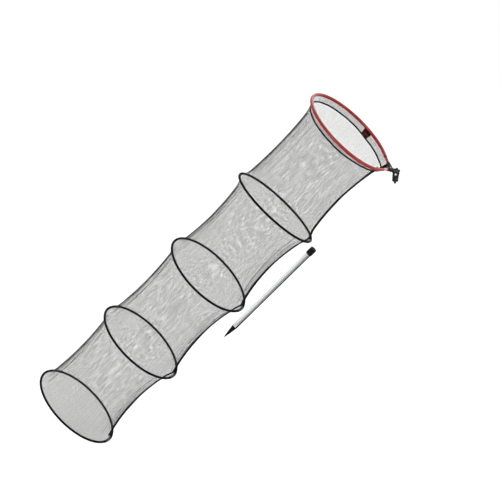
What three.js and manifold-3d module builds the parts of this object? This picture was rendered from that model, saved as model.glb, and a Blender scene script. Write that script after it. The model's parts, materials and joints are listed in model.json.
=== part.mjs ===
// A round keep net for anglers. It hangs from its mouth ring, and the ground spike of its set
// stands by itself beside it. Lengths are in millimetres and +Z is up. The origin is where the
// end of the fitting's socket, round its brass stud, seats on a bank stick.
import * as THREE from 'three';
import Module from 'manifold-3d';
import { mergeVertices } from 'three/addons/utils/BufferGeometryUtils.js';

const wasm = await Module();
wasm.setup();

const degree = Math.PI / 180;

// Fits and cuts
const seat_gap = 0.3; // between two pieces that touch
const cut_overrun = 2; // a cutting tool reaches this far past what it cuts

// Mouth ring: a circle of tube whose two ends run straight to the yoke
const ring_radius = 198.5; // to the middle of the tube
const ring_tube_radius = 6.5;
const ring_tube_wall = 1.5;
const ring_straight_angle = 26 * degree; // where the tube leaves the circle, from +X
const ring_shift = 4; // the mouth hangs this far behind the hoops' axis, away from the fitting
const ring_end_length = 51; // of the bright bar that shows between tube and yoke
const ring_end_radius = 5.7;
const ring_end_plunge = 14; // of the bar inside the yoke
const ring_end_spigot = 16; // and inside the tube
const ring_stop_length = 14; // against the yoke
const ring_stop_radius = 6.9;

// Yoke: two legs that take the ring's ends, an arm and the hinge's eye
const yoke_leg_length = 25; // along the tube, to where the two legs meet
const yoke_leg_radius = 9;
const yoke_web_height = 12;
const arm_reach = 27.7; // from where the legs meet to the pivot
const arm_width = 16;
const arm_height = 17;
const arm_corner = 3;
const arm_end_gap = 19; // from the arm's full section to the pivot
const neck_height = 12;
const eye_radius = 11;
const eye_thickness = 9;

// Tilting socket, its bolt, washer and knob
const socket_angle = 52 * degree; // below the horizontal
const socket_length = 31; // from the pivot to the end face
const socket_radius = 12.5;
const socket_root_gap = 1.4; // from the eye's rim to the socket's solid part
const cheek_thickness = 3.7;
const bolt_radius = 3;
const bolt_head_radius = 4.6;
const bolt_head_height = 3;
const bolt_tail = 1.5; // the bolt shows this far past the knob
const washer_radius = 7;
const washer_thickness = 1.2;
const knob_boss_radius = 7.5;
const knob_boss_length = 7;
const knob_radius = 16.5; // to the tips of the lobes
const knob_lobe_depth = 4;
const knob_thickness = 11;
const knob_lobes = 6;

// Brass stud, a 3/8 inch thread
const stud_radius = 4.76;
const stud_show = 10.5;
const stud_plunge = 11;
const stud_chamfer = 1.2;

// Collar band, hem tape and label under the ring
const collar_ring_gap = 0.7; // from the ring's tube down to the band
const collar_height = 15;
const collar_top_inset = 1.5; // inside the middle of the ring's tube
const collar_wall = 1.4;
const collar_open_angle = 2 * degree; // at the hem the band stops this far each side of the yoke
const collar_leg_end = 30; // and at its top this far along the tube from where the legs meet
const binding_thickness = 1.6;
const hem_inset = 14.5; // from the middle of the ring's tube in to the net's outside under the hem tape
const hem_height = 6;
const hem_thickness = 2.6;
const label_width = 30;
const label_height = 14;
const label_thickness = 1.2;
const label_inset = 0.6; // off the band's inside, whose facets the label's don't match
const label_angle = 64 * degree;

// Hoops, from the top one down, and the net between them
const section_lengths = [443, 409, 425, 415];
const hoop_tilts = [8 * degree, -1.65 * degree, 0, 0]; // how much a hoop's -Y side hangs up
const hoop_inset = 6.25; // the hoops are this much smaller in radius than the mouth ring
const hoop_tube_radius = 3.75;
const hoop_end_gap = 2; // between a hoop's two ends, inside its ferrule
const ferrule_angle = -15 * degree;
const ferrule_length = 56;
const ferrule_bore_gap = 0.7;
const ferrule_wall = 1.3;
const net_wall = 1;
const net_insets = [4, 8, 8, 8, 8]; // the net draws in quickly by this much next to the hem and each hoop
const waist_depths = [15.5, 22.5, 20.5, 20.5]; // and slowly by this much more at each section's waist
const waist_skews = [4, 5.5, 6, 6]; // and so much more on the seam's side
const waist_row_shares = [0, 0.07, 0.2, 0.4, 0.6, 0.8, 0.93, 1];
const waist_power = 2;
const seam_bearing = -3 * degree;
const tape_width = 7;
const tape_thickness = 4;
const tape_gap = 0.8; // off the net, whose facets fold along the tape's middle
const base_wall = 1.5;

// Ground spike
const spike_gap = 13.2; // from the hoops' ferrules to the spike's cap
const spike_bearing = -10 * degree;
const spike_top_drop = 7.9; // below the middle of the top hoop
const spike_tube_radius = 11.2;
const spike_tube_wall = 1.2;
const spike_tube_length = 447; // that shows between cap and tip
const spike_cap_radius = 13.6;
const spike_cap_length = 31;
const spike_cap_roof = 11;
const spike_cap_edge = 1.5;
const spike_insert_radius = 7;
const spike_insert_depth = 9;
const spike_tip_length = 64;
const spike_tip_point = 1.2;
const spike_spigot_length = 25;

// Facets
const round_segments = 24;
const hoop_segments = 42;
const ring_steps = 50;
const ring_bore_sides = 6;
const curve_segments = 10;
const corner_segments = 4;
const label_steps = 4;
const lobe_points = 6; // round each of the knob's lobes
const ferrule_steps = 7;
const collar_steps = 150; // the bindings are as wide as one of them
const knuckle_rows = 8;
const net_segments = 32;
const hoop_sides = 8;
const ring_sides = 10;

// Places that follow from the sizes
const collar_top_drop = ring_tube_radius + collar_ring_gap; // below the middle of the ring's tube
const collar_bottom_drop = collar_top_drop + collar_height;
const hem_radius = ring_radius - hem_inset;
const hoop_radius = ring_radius - hoop_inset;
const ring_leg = ring_radius * Math.tan(ring_straight_angle);
const ring_apex = ring_radius / Math.cos(ring_straight_angle);
const ring_straight = ring_leg - yoke_leg_length - ring_end_length - seat_gap;
const pivot_x = ring_apex + arm_reach;
const hinge_half = eye_thickness / 2 + seat_gap + cheek_thickness; // outside of the clevis
const ferrule_bore = hoop_tube_radius + ferrule_bore_gap;
const ferrule_radius = ferrule_bore + ferrule_wall;
const spike_distance = hoop_radius + ferrule_radius + spike_gap + spike_cap_radius; // from the hoops' axis
const net_top_drop = collar_bottom_drop + hem_height + 2 * seat_gap;
const net_end_radius = hoop_radius - ferrule_radius - 2 * seat_gap; // the net passes inside the hoops
const hoop_drops = section_lengths.map((_, i) => sum(section_lengths.slice(0, i + 1)));

function sum(values) {
  return values.reduce((a, b) => a + b, 0);
}

// Materials
function paint(color, roughness, metalness) {
  return new THREE.MeshStandardMaterial({ color, roughness, metalness });
}

const red_paint = paint(0xa3261f, 0.35, 0.1);
const red_bright = paint(0xc8382f, 0.2, 0.6);
const black_plastic = paint(0x26272a, 0.5, 0);
const black_hoop = paint(0x1d1e20, 0.45, 0);
const grey_ferrule = paint(0x6f7174, 0.5, 0.1);
const net_grey = paint(0x6d6d6d, 0.9, 0);
const tape_black = paint(0x151515, 0.9, 0);
const label_maroon = paint(0x5a1218, 0.8, 0);
const brass = paint(0xb79548, 0.35, 0.9);
const bright_steel = paint(0xd8d9dc, 0.2, 1);
const aluminium = paint(0xc4c6c9, 0.35, 0.9);

// Shared vertices merged, flat triangles dropped and faces turned out
function closed(geometry) {
  geometry.deleteAttribute('normal');
  geometry.deleteAttribute('uv');
  const merged = mergeVertices(geometry);
  const place = merged.getAttribute('position');
  const a = new THREE.Vector3();
  const b = new THREE.Vector3();
  const c = new THREE.Vector3();
  const corners = [];
  let volume = 0;
  for (let i = 0; i < merged.index.count; i += 3) {
    const [p, q, r] = [0, 1, 2].map((k) => merged.index.getX(i + k));
    if (p === q || q === r || r === p) continue;
    corners.push(p, q, r);
    a.fromBufferAttribute(place, p);
    b.fromBufferAttribute(place, q);
    c.fromBufferAttribute(place, r);
    volume += a.dot(b.cross(c));
  }
  if (volume < 0) corners.reverse();
  merged.setIndex(corners);
  return merged;
}

function solid(geometry) {
  const mesh = closed(geometry);
  return new wasm.Manifold(new wasm.Mesh({
    numProp: 3,
    vertProperties: new Float32Array(mesh.getAttribute('position').array),
    triVerts: new Uint32Array(mesh.index.array),
  }));
}

function geometryOf(manifold) {
  const mesh = manifold.getMesh();
  const geometry = new THREE.BufferGeometry();
  geometry.setAttribute('position', new THREE.BufferAttribute(mesh.vertProperties, 3));
  geometry.setIndex(new THREE.BufferAttribute(mesh.triVerts, 1));
  return geometry;
}

function piece(name, geometry, material) {
  const mesh = new THREE.Mesh(closed(geometry), material);
  mesh.geometry.computeVertexNormals();
  mesh.name = name;
  return mesh;
}

// A profile of [radius, height] points turned round +Z
function turned(points, segments) {
  const profile = points.map(([r, z]) => new THREE.Vector2(r, z));
  return new THREE.LatheGeometry(profile, segments).rotateX(Math.PI / 2);
}

// The same, round +X, where each point is [radius, place along X]
function turnedAlongX(points, segments) {
  return turned(points, segments).rotateY(Math.PI / 2);
}

// The same, round +Y
function turnedAlongY(points, segments) {
  return turned(points, segments).rotateX(-Math.PI / 2);
}

// An outline in X and Z, from one Y to another
function slab(shape, from_y, to_y) {
  const depth = to_y - from_y;
  const options = { depth, bevelEnabled: false, curveSegments: curve_segments };
  const flat = new THREE.ExtrudeGeometry(shape, options);
  return flat.rotateX(Math.PI / 2).translate(0, to_y, 0);
}

function rounded(width, height, corner) {
  const x = width / 2 - corner;
  const y = height / 2 - corner;
  const shape = new THREE.Shape();
  shape.absarc(x, y, corner, 0, Math.PI / 2);
  shape.absarc(-x, y, corner, Math.PI / 2, Math.PI);
  shape.absarc(-x, -y, corner, Math.PI, 1.5 * Math.PI);
  shape.absarc(x, -y, corner, 1.5 * Math.PI, 2 * Math.PI);
  return shape;
}

// A regular polygon whose flats lie on the circle of that radius
function polygonPoints(radius, sides) {
  const corner = radius / Math.cos(Math.PI / sides);
  return Array.from({ length: sides }, (_, i) => {
    const angle = ((i + 0.5) * 2 * Math.PI) / sides;
    return new THREE.Vector2(corner * Math.cos(angle), corner * Math.sin(angle));
  });
}

function along(path, steps, radius, sides, bore = 0, bore_sides = sides) {
  const shape = new THREE.Shape(polygonPoints(radius, sides));
  if (bore > 0) shape.holes.push(new THREE.Path(polygonPoints(bore, bore_sides)));
  return new THREE.ExtrudeGeometry(shape, { steps, extrudePath: path, curveSegments: 1 });
}

// An arc round +Z
class Arc extends THREE.Curve {
  constructor(radius, from, to) {
    super();
    Object.assign(this, { radius, from, to });
  }

  getPoint(t, target = new THREE.Vector3()) {
    const angle = THREE.MathUtils.lerp(this.from, this.to, t);
    return target.set(this.radius * Math.cos(angle), this.radius * Math.sin(angle), 0);
  }
}

// The tube's middle: straight, round the circle, and straight again
class RingPath extends THREE.Curve {
  getPoint(t, target = new THREE.Vector3()) {
    const turn = 2 * (Math.PI - ring_straight_angle);
    const arc = ring_radius * turn;
    const way = t * (arc + 2 * ring_straight) - ring_straight;
    const on_arc = THREE.MathUtils.clamp(way, 0, arc);
    const angle = ring_straight_angle + on_arc / ring_radius;
    const past = way - on_arc;
    return target.set(
      ring_radius * Math.cos(angle) - past * Math.sin(angle),
      ring_radius * Math.sin(angle) + past * Math.cos(angle),
      0,
    );
  }
}

// A group at where the two legs meet, whose +X runs along one leg towards the tube
function legFrame(side) {
  const frame = new THREE.Group();
  frame.position.set(ring_apex, 0, 0);
  frame.rotation.z = side * (Math.PI / 2 + ring_straight_angle);
  return frame;
}

function mouthRing() {
  const bore = ring_tube_radius - ring_tube_wall;
  const tube = along(new RingPath(), ring_steps, ring_tube_radius, ring_sides, bore, ring_bore_sides);
  return piece('mouth_ring', tube, red_paint);
}

function ringEnd(name, side) {
  const inner = yoke_leg_length - ring_end_plunge;
  const outer = yoke_leg_length + ring_end_length;
  const seat = yoke_leg_length + seat_gap;
  const stop = seat + ring_stop_length;
  const spigot_radius = ring_tube_radius - ring_tube_wall - 2 * seat_gap;
  const bar = turnedAlongX([
    [0, inner], [ring_end_radius, inner], [ring_end_radius, seat],
    [ring_stop_radius, seat], [ring_stop_radius, stop], [ring_end_radius, stop],
    [ring_end_radius, outer], [spigot_radius, outer],
    [spigot_radius, outer + ring_end_spigot], [0, outer + ring_end_spigot],
  ], round_segments / 2);
  const frame = legFrame(side);
  frame.add(piece(name, bar, red_bright));
  return frame;
}

function yokeLeg(side) {
  const frame = legFrame(side);
  frame.updateMatrix();
  const leg = turnedAlongX([
    [0, 0], [yoke_leg_radius, 0], [yoke_leg_radius, yoke_leg_length], [0, yoke_leg_length],
  ], round_segments);
  const mouth = yoke_leg_length + cut_overrun;
  const bottom = yoke_leg_length - ring_end_plunge - seat_gap;
  const bore_radius = ring_end_radius + seat_gap;
  const bore = turnedAlongX([
    [0, bottom], [bore_radius, bottom], [bore_radius, mouth], [0, mouth],
  ], round_segments / 2);
  return [leg, bore].map((geometry) => solid(geometry.applyMatrix4(frame.matrix)));
}

function eyeOutline() {
  const lean = Math.asin(neck_height / 2 / eye_radius);
  const back = arm_end_gap + cut_overrun;
  const shape = new THREE.Shape();
  shape.moveTo(-back, -neck_height / 2);
  shape.absarc(0, 0, eye_radius, -Math.PI + lean, Math.PI - lean);
  shape.lineTo(-back, neck_height / 2);
  return shape;
}

function ringYoke() {
  const [leg_rear, bore_rear] = yokeLeg(1);
  const [leg_front, bore_front] = yokeLeg(-1);
  const knuckle = new THREE.SphereGeometry(yoke_leg_radius, round_segments, knuckle_rows);
  const half = yoke_leg_length * Math.cos(ring_straight_angle) - yoke_leg_radius;
  const web_shape = new THREE.Shape([
    new THREE.Vector2(-yoke_leg_radius, -half), new THREE.Vector2(yoke_leg_radius + arm_width / 2, 0),
    new THREE.Vector2(-yoke_leg_radius, half),
  ]);
  const web = new THREE.ExtrudeGeometry(web_shape, { depth: yoke_web_height, bevelEnabled: false });
  const arm = new THREE.ExtrudeGeometry(rounded(arm_height, arm_width, arm_corner), {
    depth: arm_reach - arm_end_gap, bevelEnabled: false, curveSegments: corner_segments,
  });
  const hole_radius = bolt_radius + seat_gap;
  const hole_half = eye_thickness / 2 + cut_overrun;
  const hole = turnedAlongY([
    [0, -hole_half], [hole_radius, -hole_half], [hole_radius, hole_half], [0, hole_half],
  ], round_segments);
  const body = solid(knuckle.rotateX(Math.PI / 2).translate(ring_apex, 0, 0))
    .add(leg_rear)
    .add(leg_front)
    .add(solid(web.translate(ring_apex, 0, -yoke_web_height / 2)))
    .add(solid(arm.rotateY(Math.PI / 2).translate(ring_apex, 0, 0)))
    .add(solid(slab(eyeOutline(), -eye_thickness / 2, eye_thickness / 2).translate(pivot_x, 0, 0)))
    .subtract(bore_rear)
    .subtract(bore_front)
    .subtract(solid(hole.translate(pivot_x, 0, 0)));
  return piece('ring_yoke', geometryOf(body), black_plastic);
}

// The socket in its own frame: the pivot at the origin, the stud along +X
function tiltSocket() {
  const root = eye_radius + socket_root_gap;
  const barrel = turnedAlongX([
    [0, root], [socket_radius, root], [socket_radius, socket_length], [0, socket_length],
  ], round_segments);
  const outline = new THREE.Shape();
  outline.moveTo(root + cheek_thickness, -socket_radius);
  outline.lineTo(root + cheek_thickness, socket_radius);
  outline.absarc(0, 0, socket_radius, Math.PI / 2, 1.5 * Math.PI);
  const slot_half = eye_thickness / 2 + seat_gap;
  const slot_length = root + socket_radius + cut_overrun;
  const slot = new THREE.BoxGeometry(slot_length, 2 * slot_half, 4 * socket_radius);
  const hole_radius = bolt_radius + seat_gap;
  const hole_half = hinge_half + cut_overrun;
  const hole = turnedAlongY([
    [0, -hole_half], [hole_radius, -hole_half], [hole_radius, hole_half], [0, hole_half],
  ], round_segments);
  const bore_bottom = socket_length - stud_plunge - seat_gap;
  const bore_mouth = socket_length + cut_overrun;
  const bore_radius = stud_radius + seat_gap;
  const bore = turnedAlongX([
    [0, bore_bottom], [bore_radius, bore_bottom], [bore_radius, bore_mouth], [0, bore_mouth],
  ], round_segments);
  const body = solid(slab(outline, -hinge_half, hinge_half))
    .add(solid(barrel))
    .subtract(solid(slot.translate(root - slot_length / 2, 0, 0)))
    .subtract(solid(hole))
    .subtract(solid(bore));
  return piece('tilt_socket', geometryOf(body), black_plastic);
}

function brassStud() {
  const tip = socket_length + stud_show;
  return piece('brass_stud', turnedAlongX([
    [0, socket_length - stud_plunge], [stud_radius, socket_length - stud_plunge],
    [stud_radius, tip - stud_chamfer], [stud_radius - stud_chamfer, tip], [0, tip],
  ], round_segments), brass);
}

function tiltBolt() {
  const seat = -hinge_half - seat_gap;
  const knob_end = hinge_half + 2 * seat_gap + washer_thickness + knob_boss_length + knob_thickness;
  const face = seat - bolt_head_height;
  return piece('tilt_bolt', turnedAlongY([
    [0, face], [bolt_head_radius - bolt_head_height / 3, face],
    [bolt_head_radius, face + bolt_head_height / 3], [bolt_head_radius, seat],
    [bolt_radius, seat], [bolt_radius, knob_end + bolt_tail], [0, knob_end + bolt_tail],
  ], round_segments), bright_steel);
}

function knobWasher() {
  const bore = bolt_radius + seat_gap;
  const near = hinge_half + seat_gap;
  const far = near + washer_thickness;
  return piece('knob_washer', turnedAlongY([
    [bore, near], [washer_radius, near], [washer_radius, far], [bore, far], [bore, near],
  ], round_segments), bright_steel);
}

function starKnob() {
  const near = hinge_half + 2 * seat_gap + washer_thickness;
  const middle = near + knob_boss_length;
  const far = middle + knob_thickness;
  const points = Array.from({ length: lobe_points * knob_lobes }, (_, i) => {
    const angle = (i * 2 * Math.PI) / (lobe_points * knob_lobes);
    const radius = knob_radius - (knob_lobe_depth / 2) * (1 - Math.cos(knob_lobes * angle));
    return new THREE.Vector2(radius * Math.cos(angle), radius * Math.sin(angle));
  });
  const boss = turnedAlongY([
    [0, near], [knob_boss_radius, near], [knob_boss_radius, middle + cut_overrun],
    [0, middle + cut_overrun],
  ], round_segments);
  const bore_radius = bolt_radius + seat_gap;
  const bore = turnedAlongY([
    [0, near - cut_overrun], [bore_radius, near - cut_overrun],
    [bore_radius, far + cut_overrun], [0, far + cut_overrun],
  ], round_segments);
  const body = solid(slab(new THREE.Shape(points), middle, far))
    .add(solid(boss))
    .subtract(solid(bore));
  return piece('star_knob', geometryOf(body), black_plastic);
}

// The ring's middle line at a bearing of the collar's hem. Next to the yoke it follows the straight
// tube, so that the band's top reaches nearer to the yoke than its hem does.
function ringLine(bearing) {
  const side = Math.sin(bearing) < 0 ? -1 : 1;
  const from_yoke = Math.acos(Math.cos(bearing));
  if (from_yoke > ring_straight_angle) {
    const out = new THREE.Vector2(Math.cos(bearing), Math.sin(bearing));
    return { place: out.clone().multiplyScalar(ring_radius), out };
  }
  const way = THREE.MathUtils.mapLinear(
    from_yoke, collar_open_angle, ring_straight_angle, collar_leg_end, ring_leg,
  );
  const [across, along_x] = [Math.cos(ring_straight_angle), Math.sin(ring_straight_angle)];
  return {
    place: new THREE.Vector2(ring_apex - way * along_x, side * way * across),
    out: new THREE.Vector2(across, side * along_x),
  };
}

// A point on the collar's slanting wall, this far outside its inner face
function collarPoint(bearing, drop, offset) {
  const share = (drop - collar_top_drop) / collar_height;
  const { place, out } = ringLine(bearing);
  const top = place.addScaledVector(out, offset - collar_top_inset);
  const low_radius = hem_radius - collar_wall + offset;
  const low = new THREE.Vector2(low_radius * Math.cos(bearing), low_radius * Math.sin(bearing));
  return [...top.lerp(low, share).toArray(), -drop];
}

// A strip on that wall, from one drop, offset and bearing to another
function collarStrip([top, bottom], [inner, outer], [from, to], steps) {
  const corners = [];
  const faces = [];
  for (let i = 0; i <= steps; i += 1) {
    const bearing = THREE.MathUtils.lerp(from, to, i / steps);
    corners.push(
      ...collarPoint(bearing, top, inner), ...collarPoint(bearing, bottom, inner),
      ...collarPoint(bearing, bottom, outer), ...collarPoint(bearing, top, outer),
    );
    for (let side = 0; side < 4 && i < steps; side += 1) {
      const [a, b] = [4 * i + side, 4 * i + ((side + 1) % 4)];
      // Both faces of the wall fold along the same diagonals
      if (side === 2) faces.push(a, b, b + 4, a, b + 4, a + 4);
      else faces.push(a, b, a + 4, b, b + 4, a + 4);
    }
  }
  const end = 4 * steps;
  faces.push(0, 2, 1, 0, 3, 2, end, end + 1, end + 2, end, end + 2, end + 3);
  const geometry = new THREE.BufferGeometry();
  geometry.setAttribute('position', new THREE.Float32BufferAttribute(corners, 3));
  geometry.setIndex(faces);
  return geometry;
}

function collarMesh() {
  const band = collarStrip(
    [collar_top_drop, collar_bottom_drop], [0, collar_wall],
    [collar_open_angle, 2 * Math.PI - collar_open_angle], collar_steps,
  );
  return piece('collar_mesh', band, net_grey);
}

function collarBinding(name, side) {
  const edge = side * collar_open_angle;
  const step = (2 * (Math.PI - collar_open_angle)) / collar_steps;
  const near = collar_wall + seat_gap;
  const strip = collarStrip(
    [collar_top_drop, collar_bottom_drop], [near, near + binding_thickness],
    side > 0 ? [edge, edge + step] : [edge - step, edge], 1,
  );
  return piece(name, strip, tape_black);
}

function hemTape() {
  const top = -collar_bottom_drop - seat_gap;
  const bottom = top - hem_height;
  const inner = hem_radius - hem_thickness / 2;
  const outer = hem_radius + hem_thickness / 2;
  const band = turned([
    [inner, bottom], [outer, bottom], [outer, top], [inner, top], [inner, bottom],
  ], hoop_segments);
  return piece('hem_tape', band, tape_black);
}

function mouthLabel() {
  const middle = (collar_top_drop + collar_bottom_drop) / 2;
  const half = label_width / hem_radius / 2;
  const strip = collarStrip(
    [middle - label_height / 2, middle + label_height / 2],
    [-label_inset - label_thickness, -label_inset],
    [label_angle - half, label_angle + half], label_steps,
  );
  return piece('mouth_label', strip, label_maroon);
}

// How far a hoop that hangs tilted lifts or drops a point at this y
function lean(tilt, y) {
  return -y * Math.tan(tilt);
}

// Each section hangs from what is above it: the hem tape, or the hoop before it
function sectionAbove(index) {
  if (index === 0) return { drop: net_top_drop, radius: hem_radius, tilt: 0, shift: -ring_shift };
  return {
    drop: hoop_drops[index - 1] + seat_gap / 2,
    radius: net_end_radius, tilt: hoop_tilts[index - 1], shift: 0,
  };
}

function sectionBelow(index) {
  const last = index === section_lengths.length - 1;
  return {
    drop: hoop_drops[index] - (last ? base_wall / 2 + seat_gap : seat_gap / 2),
    radius: net_end_radius, tilt: hoop_tilts[index], shift: 0,
  };
}

// The net's outside at a share of the way down a section and a bearing
function sectionPoint(index, share, bearing, inset) {
  const [above, below] = [sectionAbove(index), sectionBelow(index)];
  const slow = 1 - Math.abs(2 * share - 1) ** waist_power;
  const quick = Math.min(1, Math.min(share, 1 - share) / waist_row_shares[1]);
  const waist = waist_depths[index] + waist_skews[index] * Math.cos(bearing - seam_bearing);
  const depth = quick * THREE.MathUtils.lerp(net_insets[index], net_insets[index + 1], share)
    + slow * waist;
  const radius = THREE.MathUtils.lerp(above.radius, below.radius, share) - depth - inset;
  const y = radius * Math.sin(bearing);
  const drop = THREE.MathUtils.lerp(above.drop, below.drop, share);
  const rise = THREE.MathUtils.lerp(lean(above.tilt, y), lean(below.tilt, y), share);
  const shift = THREE.MathUtils.lerp(above.shift, below.shift, share);
  return new THREE.Vector3(radius * Math.cos(bearing) + shift, y, rise - drop);
}

function netSleeve(index) {
  const rows = [
    ...waist_row_shares.map((share) => [share, 0]),
    ...waist_row_shares.toReversed().map((share) => [share, net_wall]),
  ];
  const corners = [];
  const faces = [];
  rows.forEach(([share, inset], row) => {
    const next = (row + 1) % rows.length;
    for (let i = 0; i < net_segments; i += 1) {
      const beside = (i + 1) % net_segments;
      const bearing = seam_bearing + (i * 2 * Math.PI) / net_segments;
      corners.push(...sectionPoint(index, share, bearing, inset).toArray());
      const [a, b] = [row * net_segments + i, row * net_segments + beside];
      const [c, d] = [next * net_segments + i, next * net_segments + beside];
      faces.push(a, c, b, b, c, d);
    }
  });
  const geometry = new THREE.BufferGeometry();
  geometry.setAttribute('position', new THREE.Float32BufferAttribute(corners, 3));
  geometry.setIndex(faces);
  return piece(`net_sleeve_${index + 1}`, geometry, net_grey);
}

// The seam's roll of cloth runs down the inside of the net
function seamTape(index) {
  const outline = (inset) => waist_row_shares.map((share) => {
    const point = sectionPoint(index, share, seam_bearing, inset);
    const reach = point.x * Math.cos(seam_bearing) + point.y * Math.sin(seam_bearing);
    return new THREE.Vector2(reach, point.z);
  });
  const near = net_wall + tape_gap;
  const [outer, inner] = [outline(near), outline(near + tape_thickness)];
  const strip = slab(new THREE.Shape([...inner, ...outer.reverse()]), -tape_width / 2, tape_width / 2);
  return piece(`seam_tape_${index + 1}`, strip.rotateZ(seam_bearing), tape_black);
}

function hoop(index) {
  const group = new THREE.Group();
  group.position.z = -hoop_drops[index];
  group.rotation.x = -hoop_tilts[index];
  const half_gap = hoop_end_gap / 2 / hoop_radius;
  const ring = new Arc(hoop_radius, ferrule_angle + half_gap, ferrule_angle + 2 * Math.PI - half_gap);
  const rod = along(ring, hoop_segments, hoop_tube_radius, hoop_sides);
  const half = ferrule_length / 2 / hoop_radius;
  const sleeve = new Arc(hoop_radius, ferrule_angle - half, ferrule_angle + half);
  const ferrule = along(sleeve, ferrule_steps, ferrule_radius, hoop_sides, ferrule_bore);
  group.add(piece(`hoop_${index + 1}`, rod, black_hoop));
  group.add(piece(`hoop_ferrule_${index + 1}`, ferrule, grey_ferrule));
  return group;
}

function baseMesh() {
  const drop = hoop_drops.at(-1);
  const rim = net_end_radius;
  const disc = turned([
    [0, -base_wall / 2], [rim, -base_wall / 2], [rim, base_wall / 2], [0, base_wall / 2],
  ], hoop_segments);
  return piece('base_mesh', disc.translate(0, 0, -drop), net_grey);
}

function groundSpike() {
  const group = new THREE.Group();
  const x = spike_distance * Math.cos(spike_bearing);
  const y = spike_distance * Math.sin(spike_bearing);
  group.position.set(x, y, -hoop_drops[0] - spike_top_drop);
  const bore = spike_tube_radius - spike_tube_wall;
  const socket = spike_tube_radius + seat_gap;
  const insert_hole = spike_insert_radius + seat_gap;
  const insert_seat = -spike_insert_depth - seat_gap;
  const tube_top = -spike_cap_roof - seat_gap;
  const tube_bottom = -spike_cap_length - spike_tube_length;
  const tip_top = tube_bottom - seat_gap;
  const tip_end = tip_top - spike_tip_length;
  const thread = stud_radius + seat_gap;
  group.add(piece('spike_cap', turned([
    [0, -spike_cap_roof], [socket, -spike_cap_roof], [socket, -spike_cap_length],
    [spike_cap_radius, -spike_cap_length], [spike_cap_radius, -spike_cap_edge],
    [spike_cap_radius - spike_cap_edge, 0], [insert_hole, 0], [insert_hole, insert_seat],
    [0, insert_seat],
  ], round_segments), black_plastic));
  group.add(piece('spike_insert', turned([
    [thread, -spike_insert_depth], [spike_insert_radius, -spike_insert_depth],
    [spike_insert_radius, 0], [thread, 0], [thread, -spike_insert_depth],
  ], round_segments), black_plastic));
  group.add(piece('spike_tube', turned([
    [bore, tube_bottom], [spike_tube_radius, tube_bottom], [spike_tube_radius, tube_top],
    [bore, tube_top], [bore, tube_bottom],
  ], round_segments), aluminium));
  group.add(piece('spike_tip', turned([
    [0, tip_end], [spike_tip_point, tip_end], [spike_tube_radius, tip_top],
    [bore - seat_gap, tip_top], [bore - seat_gap, tip_top + spike_spigot_length],
    [0, tip_top + spike_spigot_length],
  ], round_segments), black_plastic));
  return group;
}

function mouth() {
  const group = new THREE.Group();
  group.add(mouthRing(), ringEnd('ring_end_rear', 1), ringEnd('ring_end_front', -1), ringYoke());
  group.add(collarMesh(), hemTape(), mouthLabel());
  group.add(collarBinding('collar_binding_rear', 1), collarBinding('collar_binding_front', -1));
  return group;
}

function tiltingFitting() {
  const group = new THREE.Group();
  group.position.set(pivot_x, 0, 0);
  group.rotation.y = socket_angle;
  group.add(tiltSocket(), brassStud(), tiltBolt(), knobWasher(), starKnob());
  return group;
}

function net() {
  const group = new THREE.Group();
  section_lengths.forEach((_, index) => group.add(netSleeve(index), seamTape(index), hoop(index)));
  group.add(baseMesh(), groundSpike());
  group.position.x = ring_shift;
  return group;
}

const keep_net = new THREE.Group();
keep_net.position.set(
  -pivot_x - socket_length * Math.cos(socket_angle),
  0,
  socket_length * Math.sin(socket_angle),
);
keep_net.add(mouth(), tiltingFitting(), net());

export default keep_net;
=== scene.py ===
"""A round keep net that hangs from its mouth ring, with the ground spike of its set beside it."""

import json
import math
import random

import bmesh
import bpy
from mathutils import Matrix, Vector


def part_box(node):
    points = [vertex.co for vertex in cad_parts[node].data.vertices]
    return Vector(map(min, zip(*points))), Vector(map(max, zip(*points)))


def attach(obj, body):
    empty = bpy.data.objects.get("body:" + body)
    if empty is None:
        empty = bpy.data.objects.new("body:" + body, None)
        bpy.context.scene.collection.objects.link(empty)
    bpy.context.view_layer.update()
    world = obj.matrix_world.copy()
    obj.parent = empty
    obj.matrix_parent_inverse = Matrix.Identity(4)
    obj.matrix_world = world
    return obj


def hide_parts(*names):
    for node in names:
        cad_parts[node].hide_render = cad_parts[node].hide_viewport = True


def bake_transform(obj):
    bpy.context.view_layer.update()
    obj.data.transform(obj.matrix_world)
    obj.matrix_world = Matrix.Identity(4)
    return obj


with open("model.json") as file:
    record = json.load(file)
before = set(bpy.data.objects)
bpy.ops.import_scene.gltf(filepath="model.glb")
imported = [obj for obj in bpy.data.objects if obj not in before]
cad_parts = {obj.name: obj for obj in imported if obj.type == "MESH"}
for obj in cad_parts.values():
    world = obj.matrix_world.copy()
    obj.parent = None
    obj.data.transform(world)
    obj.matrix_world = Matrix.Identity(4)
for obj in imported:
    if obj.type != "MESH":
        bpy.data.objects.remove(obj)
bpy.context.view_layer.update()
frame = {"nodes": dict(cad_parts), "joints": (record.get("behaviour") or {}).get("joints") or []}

TAU = 2 * math.pi
MM = 0.001
UP = Vector((0, 0, 1))
SIDES = ((1, "rear"), (-1, "front"))  # of the yoke

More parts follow.
